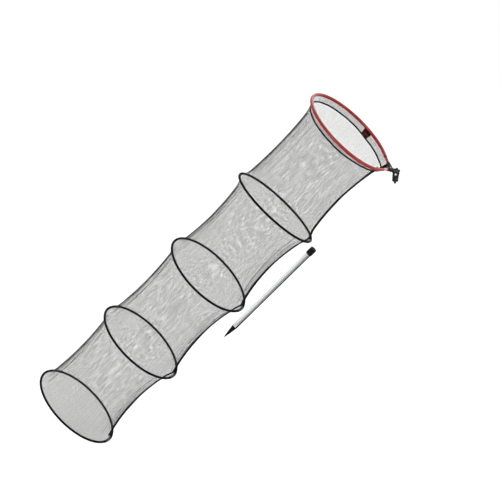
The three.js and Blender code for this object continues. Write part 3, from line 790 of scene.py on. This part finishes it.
washer = lathe("pivot_washer", [
    (3.3 * MM, HINGE_FACE), (7 * MM, HINGE_FACE), (7 * MM, HINGE_FACE + WASHER_THICKNESS),
    (3.3 * MM, HINGE_FACE + WASHER_THICKNESS),
], PIVOT, hinge_way, bright_steel, round_by=0.2 * MM, closed=True)
settle(washer, "socket", "bright_steel", "knob_washer")


def lobed_knob():
    """A star knob: its rim swells and dips at each lobe, and its edges are rounded."""
    rim, bore = KNOB_RADIUS, 3.3 * MM
    rows = [  # the radius, how much of it follows the lobes, and the place along the bolt
        (bore, 0, KNOB_NEAR), (7.1 * MM, 0, KNOB_NEAR), (7.5 * MM, 0, KNOB_NEAR + 0.4 * MM),
        (7.5 * MM, 0, KNOB_MIDDLE - 1.2 * MM), (7.9 * MM, 0.2, KNOB_MIDDLE - 0.3 * MM),
        (9.2 * MM, 0.6, KNOB_MIDDLE), (rim - 1.7 * MM, 1, KNOB_MIDDLE + 0.3 * MM),
        (rim - 0.5 * MM, 1, KNOB_MIDDLE + 1.1 * MM), (rim, 1, KNOB_MIDDLE + 2.6 * MM),
        (rim, 1, KNOB_FAR - 2.6 * MM), (rim - 0.5 * MM, 1, KNOB_FAR - 1.0 * MM),
        (rim - 1.8 * MM, 1, KNOB_FAR - 0.15 * MM), (8.4 * MM, 0.5, KNOB_FAR),
        (6.4 * MM, 0, KNOB_FAR - 0.4 * MM), (5.9 * MM, 0, KNOB_FAR - 1.6 * MM),
        (bore, 0, KNOB_FAR - 1.6 * MM),
    ]
    turn = axes_to(hinge_way)

    def point(along, around):
        radius, follows, way = rows[round(along * len(rows)) % len(rows)]
        dip = KNOB_LOBE_DEPTH / 2 * (1 - math.cos(KNOB_LOBES * TAU * around))
        radius -= follows * dip * min(1, radius / rim + 0.2)
        return PIVOT + turn @ polar(radius, TAU * around, way)

    return face_out(grid("lobed_knob", point, len(rows), 120, knob_black, wrap_rows=True,
                         wrap_cols=True, sharp=math.radians(55)))


settle(lobed_knob(), "knob", "knob_black", "star_knob")


# Collar, hem tape and label

hem_ripple = Waves(3, (5, 9, 14, 23))
hem_sag = Waves(8, (2, 3, 7))
collar_ripple = Waves(11, (31, 47, 58))


def hem_place(bearing, pull=HEM_PULLED):
    """How far the hem's middle moves out and down from its plain circle. It is pulled out at the
    yoke, and drawn in on both sides of it."""
    from_yoke = abs((bearing + math.pi) % TAU - math.pi)
    drawn = math.exp(-((from_yoke - HEM_DRAWN_AT) / HEM_DRAWN_OVER) ** 2)
    pulled = math.exp(-(from_yoke / HEM_PULLED_OVER) ** 2) * pull
    out = HEM_RIPPLE_OUT * hem_ripple(bearing) - HEM_DRAWN * drawn + pulled
    down = HEM_SAG * hem_sag(bearing) + HEM_RIPPLE_DOWN * hem_ripple(bearing + 1)
    return out, down


def ring_line(bearing):
    """The ring's middle at a bearing, and the way out. By the yoke it follows the leg."""
    bearing = (bearing + math.pi) % TAU - math.pi
    if abs(bearing) > RING_LEAVES:
        return polar(RING_RADIUS, bearing), polar(1, bearing)
    side = math.copysign(1, bearing)
    share = (abs(bearing) - COLLAR_OPENS) / (RING_LEAVES - COLLAR_OPENS)
    way = lerp(COLLAR_LEG_END, RING_RADIUS * math.tan(RING_LEAVES), share)
    apex = Vector((RING_RADIUS / math.cos(RING_LEAVES), 0, 0))
    return apex + leg_direction(side) * way, polar(1, side * RING_LEAVES)


def collar_surface(share, bearing, offset):
    """The collar's wall from the ring down to the hem tape, offset outwards."""
    out, down = hem_place(bearing)
    top = RING_TUBE - COLLAR_RING_LAP
    bottom = COLLAR_BOTTOM + down + COLLAR_HEM_LAP
    ripple = COLLAR_RIPPLE * collar_ripple(bearing, share) * math.sin(math.pi * share) + offset
    middle, way_out = ring_line(bearing)
    high = middle + way_out * (ripple - COLLAR_TOP_INSET)
    low = polar(HEM_RADIUS + out + ripple, bearing)
    return MOUTH + high.lerp(low, share) - Vector((0, 0, lerp(top, bottom, share)))


def collar_netting():
    """The band of mesh, as a wall that is closed all round."""
    rows = [0, 0.2, 0.4, 0.6, 0.8, 1]
    wall = [(s, COLLAR_WALL / 2) for s in rows] + [(s, -COLLAR_WALL / 2) for s in reversed(rows)]

    def point(around, across):
        share, offset = wall[round(across * len(wall)) % len(wall)]
        return collar_surface(share, lerp(COLLAR_OPENS, TAU - COLLAR_OPENS, around), offset)

    round_length = (TAU - 2 * COLLAR_OPENS) * HEM_RADIUS
    return face_out(grid("collar_netting", point, 520, len(wall), collar_net, wrap_cols=True,
                         ends=True, size=(COLLAR_MESHES_DOWN, round_length / COLLAR_MESH)))


def collar_edge(where, side):
    """The tape folded over one edge of the collar, with rounded edges of its own."""
    outline = [(-1, -0.4), (-1, 0.4), (-0.92, 1), (-0.4, 1), (0, 1), (0.4, 1), (0.92, 1),
               (1, 0.4), (1, -0.4), (0.92, -1), (0, -1), (-0.92, -1)]

    def point(along, around):
        across, up = outline[round(around * len(outline)) % len(outline)]
        bearing = side * BINDING_BEARING + across * BINDING_WIDTH / 2 / HEM_RADIUS
        return collar_surface(lerp(*BINDING_SPAN, along), bearing, up * BINDING_THICKNESS / 2)

    return face_out(grid(f"collar_edge_{where}", point, 14, len(outline), tape_black,
                         wrap_cols=True, ends=True, size=(2 * BINDING_WIDTH, 1)))


def hem_webbing():
    """The tape under the band, a bevelled bar in section."""
    outline = [(-1, -0.6), (-1, 0.6), (-0.7, 1), (0.7, 1), (1, 0.6), (1, -0.6), (0.7, -1),
               (-0.7, -1)]

    def point(around, across):
        side, up = outline[round(across * len(outline)) % len(outline)]
        bearing = TAU * around
        out, down = hem_place(bearing)
        radius = HEM_RADIUS + out + side * HEM_THICKNESS / 2
        return MOUTH + polar(radius, bearing, -HEM_DROP - down + up * HEM_HEIGHT / 2)

    return face_out(grid("hem_webbing", point, 420, len(outline), tape_black, wrap_rows=True,
                         wrap_cols=True, size=(18 * MM, TAU * HEM_RADIUS)))


def stitches(name, place, count, material):
    """Short raised threads. place(i) gives a middle, the way along and the way out."""
    rings = ((-0.5, 0.4), (-0.25, 1), (0.25, 1), (0.5, 0.4))  # where along, and how wide
    sides = 6
    vertices, faces = [], []
    for i in range(count):
        middle, along, out = place(i)
        side = along.cross(out).normalized()
        start = len(vertices)
        for share, wide in rings:
            lift = out * (0.45 * STITCH_THICKNESS * (1 - (2 * share) ** 2))
            for k in range(sides):
                turn = TAU * k / sides
                spoke = side * math.cos(turn) + out * math.sin(turn)
                vertices.append(middle + along * (share * STITCH_LENGTH) + lift
                                + spoke * STITCH_THICKNESS / 2 * wide)
        for ring in range(len(rings) - 1):
            for k in range(sides):
                a, b = start + ring * sides + k, start + ring * sides + (k + 1) % sides
                faces.append((a, b, b + sides, a + sides))
        faces.append([start + k for k in reversed(range(sides))])
        faces.append([start + (len(rings) - 1) * sides + k for k in range(sides)])
    return face_out(new_object(name, vertices, faces, material))


def hem_stitch(i):
    bearing = TAU * (i // 2 + 0.25) / HEM_STITCHES
    row = -1 if i % 2 else 1
    out, down = hem_place(bearing)
    middle = MOUTH + polar(HEM_RADIUS + out + HEM_THICKNESS / 2, bearing,
                           -HEM_DROP - down + row * STITCH_ROW)
    return middle, polar(1, bearing + math.pi / 2), polar(1, bearing)


def label_layer(name, width, height, middle, lift, thickness, cloth):
    """A flat patch on the inside of the collar. middle is the share of the way down it."""

    def point(along, across):
        layer = 1 if across < 0.5 else -1
        share = (across * 2) % 1
        down = middle + (along - 0.5) * height / COLLAR_SLANT
        askew = -LABEL_LEAN * (down - 0.5)
        bearing = LABEL_BEARING + ((share - 0.5) * layer * width + askew) / HEM_RADIUS
        bulge = LABEL_BULGE * math.sin(3 * math.pi * share) * (along - 0.5)
        offset = -COLLAR_WALL / 2 - lift - bulge - layer * thickness / 2
        return collar_surface(down, bearing, offset)

    return face_out(grid(name, point, 6, 32, cloth, wrap_cols=True, size=(2 * width, height),
                         ends=True, sharp=math.radians(50)))


def label_patch():
    """A bare woven label with a folded dark border, sewn to the inside of the collar."""
    return joined("label_patch", [
        label_layer("label_back", LABEL_WIDTH, LABEL_HEIGHT, 0.46, 0.9 * MM, 0.9 * MM,
                    tape_black),
        label_layer("label_front", LABEL_WIDTH - 10 * MM, LABEL_HEIGHT - 11 * MM, 0.56,
                    1.5 * MM, 0.7 * MM, label_cloth),
    ])


def gusset_panel():
    """A thin black sheet that shuts the V under the yoke, between the collar's edges."""

    def point(down, around):
        layer = 1 if around < 0.5 else -1
        across = (around * 2) % 1 if layer > 0 else 1 - (around * 2) % 1
        share = lerp(*GUSSET_SPAN, down)
        rear, front = (collar_surface(share, side * BINDING_BEARING, layer * GUSSET_HALF)
                       for side, _ in SIDES)
        bow = GUSSET_BOW * (1 - down) ** 2 * math.sin(math.pi * across)
        return rear.lerp(front, across) + GUSSET_BOW_WAY * bow

    return face_out(grid("collar_gusset", point, 8, 20, tape_black, wrap_cols=True, ends=True,
                         size=(0.1, 0.03)))


collar = settle(collar_netting(), "mouth", "collar_mesh", "collar_mesh")
hem = settle(hem_webbing(), "mouth", "tape_black", "hem_tape")
hem_threads = settle(stitches("hem_stitching", hem_stitch, 2 * HEM_STITCHES, thread_black),
                     "mouth", "tape_black")
bindings = [settle(collar_edge(where, side), "mouth", "tape_black", f"collar_binding_{where}")
            for side, where in SIDES]
settle(label_patch(), "mouth", "label_maroon", "mouth_label")
gusset = settle(gusset_panel(), "mouth", "tape_black")


# Net sections, their seam tapes, and the hoops

pleats = [Waves(20 + i, (47, 61, 83, 109), 2.5) for i in range(4)]
swells = [Waves(40 + i, (3, 5, 8), 1.5) for i in range(4)]


def section_ends(index):
    """Drop, radius, tilt and shift where a section starts and where it ends."""
    below = MOUTH.z - HOOPS[index].z
    if index == 0:
        above = (HEM_DROP + HEM_HEIGHT / 2 - NET_HEM_LAP, HEM_RADIUS, 0, -RING_SHIFT)
    else:
        above = (MOUTH.z - HOOPS[index - 1].z, NET_END_RADIUS, HOOP_TILTS[index - 1], 0)
    return above, (below, NET_END_RADIUS, HOOP_TILTS[index], 0)


def away_from_ends(share):
    """0 at both ends of a section, and 1 where the net is free of what holds it."""
    return smoothstep(min(share, 1 - share) / INSET_SHARE / INSET_EASE)


def net_point(index, share, bearing, offset=0.0):
    """The net at a share of the way down a section."""
    (drop_a, radius_a, tilt_a, shift_a), (drop_b, radius_b, tilt_b, shift_b) = section_ends(index)
    free = away_from_ends(share)
    radius = lerp(radius_a, radius_b, share)
    radius -= free * lerp(NET_INSETS[index], NET_INSETS[index + 1], share)
    waist = WAISTS[index] + WAIST_SKEWS[index] * math.cos(bearing - SEAM_BEARING)
    radius -= (1 - (2 * share - 1) ** 2) * waist
    from_seam = math.remainder(bearing - SEAM_BEARING, TAU)
    pleated = 1 - math.exp(-(from_seam / SEAM_FLAT[index]) ** 2)
    ripple = PLEAT * pleats[index](bearing, share) * pleated + SWELL * swells[index](bearing, share)
    sink = PLEAT * (PLEAT_SINK - PLEAT_SINK_SKEW * math.cos(bearing)) * pleated
    radius += free * (ripple - sink) + offset
    if index == 0:
        out, down = hem_place(bearing, 0)
        radius += out * (1 - share) ** 3
        drop_a += down
    x = AXIS_X + lerp(shift_a, shift_b, share) + radius * math.cos(bearing)
    y = radius * math.sin(bearing)
    rise = lerp(-y * math.tan(tilt_a), -y * math.tan(tilt_b), share)
    return Vector((x, y, MOUTH.z + rise - lerp(drop_a, drop_b, share)))


def netting(index, length):
    """A section's sheet, with whole meshes round it and down it."""

    def point(along, around):
        return net_point(index, along, TAU * around)

    return grid(f"netting_{index + 1}", point, NET_ROWS, NET_COLUMNS, net_mesh, wrap_cols=True,
                size=(MESHES_ROUND, round(length / MESH_LENGTH)))


def seam_roll(index):
    """The seam is a roll of cloth: thin in a section's upper half, thick in its lower half. The
    first one is thick at its top too, and sinks to the inside of the net further down."""
    steps = 90
    path = []
    for i in range(steps + 1):
        share = i / steps
        free = away_from_ends(share)
        wander = SEAM_WANDER * math.sin(9 * share + 2 * index) * free
        sinks = smoothstep((share - 0.2) / 0.3)
        proud = lerp(*SEAM_PROUD_FIRST, sinks) if index == 0 else SEAM_PROUD
        lift = lerp(-SEAM_BEHIND, proud, free) * MM
        path.append(net_point(index, share, SEAM_BEARING + wander / HOOP_RADIUS, lift))

    def radius(share):
        top = smoothstep((0.22 - share) / 0.1) if index == 0 else 0
        low = smoothstep((share - 0.4) / 0.2)
        return lerp(SEAM_THIN[index], SEAM_THICK, max(top, low)) * MM

    return sweep(f"seam_roll_{index + 1}", path, radius, 12, tape_black, size=(0.02, 0.4))


for index in range(4):
    (drop_a, *_), (drop_b, *_) = section_ends(index)
    length = drop_b - drop_a
    sheet = netting(index, length)
    tape = seam_roll(index)
    for piece, slot, node in ((sheet, "net_mesh", f"net_sleeve_{index + 1}"),
                              (tape, "tape_black", f"seam_tape_{index + 1}")):
        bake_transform(piece)
        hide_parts(node)


def on_hoop(index, radius, bearing, z=0.0):
    """A point by a hoop's middle, turned with the hoop's tilt."""
    flat = polar(radius, bearing, z)
    return HOOPS[index] + Matrix.Rotation(-HOOP_TILTS[index], 3, "X") @ flat


def lashing_path(index):
    """A thread wound round a hoop, over the net's edge, outside the ferrule."""
    half = FERRULE_HALF + LASHING_GAP
    first, last = FERRULE_BEARING + half, FERRULE_BEARING + TAU - half
    reach = HOOP_CASING + LASHING_PROUD
    steps = 10 * LASHING_TURNS
    points = []
    for i in range(steps + 1):
        share = i / steps
        turn = TAU * LASHING_TURNS * share
        radius = HOOP_RADIUS + reach * math.cos(turn)
        points.append(on_hoop(index, radius, lerp(first, last, share), reach * math.sin(turn)))
    return points


def ferrule_radius(share):
    """A sleeve with a rolled lip at each end and a crimp inside it."""
    lip, crimp_at, crimp_width = 2.4 * MM, 9 * MM, 1.6 * MM
    way = min(share, 1 - share) * FERRULE_LENGTH
    if way < lip:
        return FERRULE_RADIUS * lerp(0.93, 1.06, smoothstep(way / (lip / 2)))
    crimp = math.exp(-((way - crimp_at) / crimp_width) ** 2)
    return FERRULE_RADIUS * (1.0 - 0.07 * crimp)


def tie_path(index):
    """A cord wound round the hoop and the seam inside it, its turns opened into a V."""
    steps = 90
    inwards, half_width, half_height, opening = 4.5 * MM, 9.5 * MM, 5.6 * MM, 7 * MM
    points = []
    for i in range(steps + 1):
        turn = TIE_TURNS * TAU * i / steps
        radius = HOOP_RADIUS - inwards + half_width * math.cos(turn)
        spread = lerp(0, opening, i / steps) * (1 + math.cos(turn)) / 2
        points.append(on_hoop(index, radius, SEAM_BEARING - spread / HOOP_RADIUS,
                              half_height * math.sin(turn)))
    return points


for index in range(4):
    body = HOOP_BODIES[index]
    circle = [on_hoop(index, HOOP_RADIUS, TAU * i / 240) for i in range(240)]
    rod = sweep(f"hoop_rod_{index + 1}", circle, HOOP_CASING, 16, hoop_black, closed=True)
    settle(rod, body, "hoop_black", f"hoop_{index + 1}")
    first, last = FERRULE_BEARING - FERRULE_HALF, FERRULE_BEARING + FERRULE_HALF
    arc = [on_hoop(index, HOOP_RADIUS, lerp(first, last, i / 120)) for i in range(121)]
    sleeve = sweep(f"hoop_sleeve_{index + 1}", arc, ferrule_radius, 24, ferrule_grey)
    settle(sleeve, body, "ferrule_grey", f"hoop_ferrule_{index + 1}")
    lashing = lashing_path(index)
    thread = sweep(f"hoop_lashing_{index + 1}", lashing, LASHING_THREAD, 5, thread_black)
    settle(thread, body, "tape_black")
    tie = sweep(f"hoop_tie_{index + 1}", tie_path(index), TIE_CORD, 8, thread_black)
    settle(tie, body, "tape_black")


def base_netting():
    """The round of netting that closes the net, sagging a little in its middle."""
    rim = HOOP_RADIUS - HOOP_CASING * 0.7  # within the hoop's cloth
    ripple = Waves(71, (6, 11, 17))

    def point(along, around):
        radius = rim * max(along, 0.004)
        bearing = TAU * around
        waves = BASE_RIPPLE * ripple(bearing) * math.sin(math.pi * along)
        return HOOPS[3] + polar(radius, bearing, -BASE_SAG * (1 - along ** 2) - waves)

    piece = grid("base_netting", point, 24, 96, net_mesh, wrap_cols=True)
    pattern, whole = (piece.data.uv_layers[name].data for name in ("pattern", "OFBake"))
    for loop in piece.data.loops:
        x, y, _ = piece.data.vertices[loop.vertex_index].co - HOOPS[3]
        pattern[loop.index].uv = (x / BASE_MESH_WIDTH, y / MESH_LENGTH)
        whole[loop.index].uv = (0.5 + x / rim / 2, 0.5 + y / rim / 2)
    return piece


base = settle(base_netting(), "hoop_body_4", "net_mesh", "base_mesh")


# Ground spike


def cap_ribs(bearing, i):
    """30 ribs round the cap, between two points of its profile."""
    return 1 + (0.018 * math.cos(30 * bearing) if i in (5, 6) else 0)


cap = lathe("spike_grip", [
    (7.3 * MM, -9.3 * MM), (7.3 * MM, -0.4 * MM), (7.8 * MM, 0), (12.8 * MM, 0),
    (13.3 * MM, -0.4 * MM), (CAP_RADIUS * 0.98, -2.4 * MM), (CAP_RADIUS * 0.98, -26 * MM),
    (CAP_RADIUS * 0.96, -27 * MM), (CAP_RADIUS, -27.6 * MM),
    (CAP_RADIUS, -CAP_LENGTH + 0.5 * MM), (CAP_RADIUS - 0.5 * MM, -CAP_LENGTH),
    (TUBE_RADIUS + 0.3 * MM, -CAP_LENGTH), (TUBE_RADIUS + 0.3 * MM, -11 * MM), (0, -11 * MM),
    (0, -9.3 * MM),
], SPIKE, UP, spike_black, 120, wobble=cap_ribs, closed=True)
settle(cap, "mouth", "spike_black", "spike_cap")
insert = lathe("spike_thread", [
    (5.1 * MM, -9 * MM), (7 * MM, -9 * MM), (7 * MM, -0.3 * MM), (6.6 * MM, 0), (5.5 * MM, 0),
    (5.1 * MM, -0.5 * MM),
    *[(5.1 * MM if k % 2 else 4.7 * MM, -(0.5 + 0.6 * k) * MM) for k in range(1, 14)],
], SPIKE, UP, spike_black, closed=True)
settle(insert, "mouth", "spike_black", "spike_insert")
shaft = lathe("spike_shaft", [
    (TUBE_INSIDE, TUBE_BOTTOM), (TUBE_RADIUS - 0.3 * MM, TUBE_BOTTOM),
    (TUBE_RADIUS, TUBE_BOTTOM + 0.4 * MM), (TUBE_RADIUS, TUBE_BOTTOM + 110 * MM),
    (TUBE_RADIUS, TUBE_BOTTOM + 220 * MM), (TUBE_RADIUS, TUBE_BOTTOM + 330 * MM),
    (TUBE_RADIUS, -11.3 * MM), (TUBE_INSIDE, -11.3 * MM),
], SPIKE, UP, aluminium, 64, closed=True)
settle(shaft, "mouth", "aluminium", "spike_tube")
tip_top = TUBE_BOTTOM - SEAT_GAP
tip = lathe("spike_point", [
    (0, tip_top + 6 * MM), (9.6 * MM, tip_top + 6 * MM), (9.6 * MM, tip_top),
    (TUBE_RADIUS, tip_top), (TUBE_RADIUS, tip_top - 4 * MM),
    (TUBE_RADIUS - 0.7 * MM, tip_top - 4.6 * MM), (TUBE_RADIUS - 0.7 * MM, tip_top - 6 * MM),
    (TUBE_RADIUS - 1.1 * MM, tip_top - 7.5 * MM), (8.4 * MM, tip_top - 24 * MM),
    (5.6 * MM, tip_top - 43 * MM), (3 * MM, tip_top - 59 * MM),
    (1.5 * MM, tip_top - TIP_LENGTH + 0.9 * MM), (0.5 * MM, tip_top - TIP_LENGTH + 0.1 * MM),
    (0, tip_top - TIP_LENGTH),
], SPIKE, UP, spike_black, 64)
settle(tip, "mouth", "spike_black", "spike_tip")
